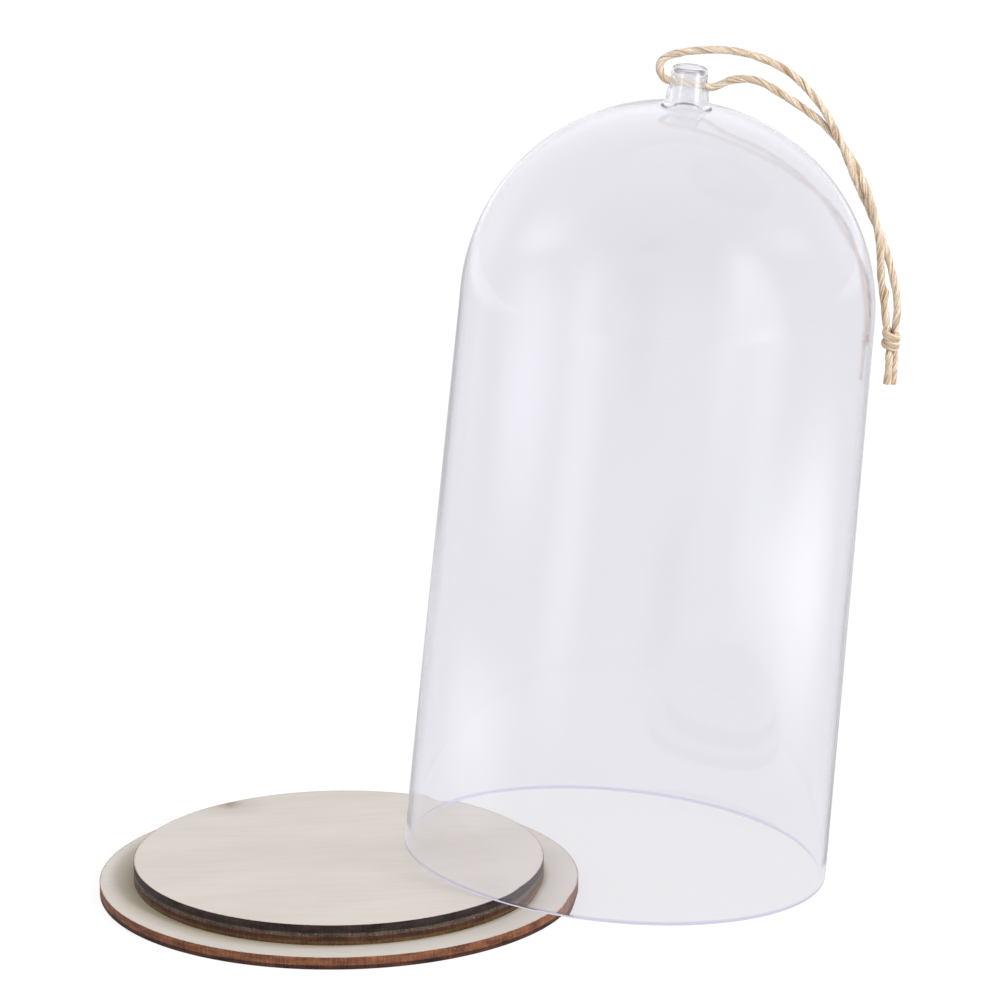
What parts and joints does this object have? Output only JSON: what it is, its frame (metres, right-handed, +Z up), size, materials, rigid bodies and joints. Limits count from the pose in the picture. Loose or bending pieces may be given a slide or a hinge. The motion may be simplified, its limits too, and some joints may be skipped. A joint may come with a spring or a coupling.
{
  "type": "bell jar dome",
  "caption": "Clear moulded display dome with a twine hanging loop, leaning off its round stepped plywood base.",
  "frame": {"origin": "centre of the base disc's underside, on the table", "axes": "+Z up; +X is the way the dome is slid and leans off the base; +Y to the back"},
  "size_m": [0.1911, 0.115, 0.2045],
  "materials": {
    "clear_plastic": "crystal clear, polished",
    "plywood_face": "pale bare veneer, laser-cut brown edge",
    "plywood_core": "bare inner veneer, laser-charred edge",
    "jute": "matte twisted natural fibre"
  },
  "bodies": {
    "base": {"base_lower_face_ply": "plywood_face", "base_core_ply": "plywood_core", "base_upper_face_ply": "plywood_face", "plinth_lower_face_ply": "plywood_face", "plinth_lower_cross_ply": "plywood_core", "plinth_core_ply": "plywood_core", "plinth_upper_cross_ply": "plywood_core", "plinth_upper_face_ply": "plywood_face"},
    "dome": {"dome": "clear_plastic"},
    "twine_loop": {"twine_long_leg": "jute", "twine_short_leg": "jute", "twine_knot": "jute", "twine_long_tail": "jute", "twine_short_tail": "jute"}
  },
  "joints": [
    {"name": "dome_lift", "type": "slide", "parent": "base", "child": "dome", "axis": [0, 0, 1], "range_m": [0, 0.2]},
    {"name": "twine_swing", "type": "hinge", "parent": "dome", "child": "twine_loop", "pos_m": [0.08495, 0, 0.19586], "axis": [0.9617, -0.2588, -0.0906], "range_deg": [-110, 110]}
  ]
}
